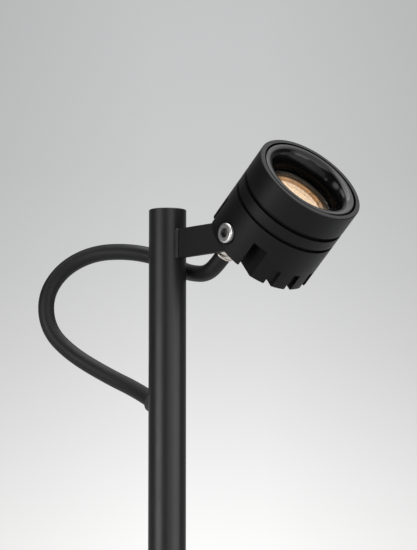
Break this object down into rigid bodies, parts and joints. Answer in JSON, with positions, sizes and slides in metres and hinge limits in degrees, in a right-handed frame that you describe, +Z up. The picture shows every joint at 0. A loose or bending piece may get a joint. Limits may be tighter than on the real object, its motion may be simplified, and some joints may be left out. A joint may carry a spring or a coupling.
{
  "type": "path light",
  "caption": "Slim black path light: a round post on a flanged base with a finned, tilting spot head, deep anti-glare cone and a cable looping back into the post.",
  "frame": {"origin": "centre of the base's underside, on the post's axis, where the fixing holes' circle has its centre", "axes": "+Z up along the post; +X from the post along the arm, the way the head points; the pivot screw's head faces -Y"},
  "size_m": [0.1865, 0.13, 0.5315],
  "materials": {
    "black_powder_coat": "satin, fine texture",
    "head_black": "satin black coating",
    "cone_black": "high gloss",
    "clear_glass": "polished",
    "warm_lens": "moulded facets",
    "holder_grey": "dark anodised",
    "stainless": "satin",
    "black_steel": "blackened",
    "nickel": "nickel plated",
    "seal_rubber": "matte",
    "cable_rubber": "matte",
    "washer_plastic": "matte",
    "bare_aluminium": "turned",
    "board_white": "white coating",
    "emitter_yellow": "matte",
    "pad_grey": "matte",
    "circuit_green": "satin",
    "component_black": "matte",
    "wire_insulation": "satin",
    "terminal_white": "matte",
    "brass_screws": "plain"
  },
  "bodies": {
    "post": {"base_gasket": "seal_rubber", "base_plate": "black_powder_coat", "post_socket": "black_powder_coat", "set_screws": "black_steel", "inlet_grommet": "seal_rubber", "terminal_block": "terminal_white", "terminal_screws": "brass_screws", "post_tube": "black_powder_coat", "post_end_cap": "black_powder_coat", "cable_grommet": "seal_rubber", "arm_plate": "black_powder_coat", "arm_welds": "black_powder_coat", "cable_loop": "cable_rubber", "post_cable": "cable_rubber"},
    "head": {"heat_sink_body": "head_black", "front_collar": "head_black", "collar_seal": "seal_rubber", "anti_glare_cone": "cone_black", "cone_gasket": "seal_rubber", "front_glass": "clear_glass", "glass_seal": "seal_rubber", "lens": "warm_lens", "lens_holder": "holder_grey", "led_carrier": "bare_aluminium", "thermal_pad": "pad_grey", "led_board": "board_white", "led_emitter": "emitter_yellow", "board_screws": "stainless", "driver_board": "circuit_green", "driver_parts": "component_black", "led_wires": "wire_insulation", "driver_wires": "wire_insulation", "gland_washer": "seal_rubber", "gland_body": "nickel", "gland_nut": "nickel", "gland_seal": "seal_rubber", "head_cable": "cable_rubber", "pivot_screw": "stainless", "friction_washers": "washer_plastic"}
  },
  "joints": [
    {"name": "tilt", "type": "hinge", "parent": "post", "child": "head", "pos_m": [0.056, 0, 0.481], "axis": [0, -1, 0], "range_deg": [-85, 50], "deforming": ["cable_loop"]}
  ]
}
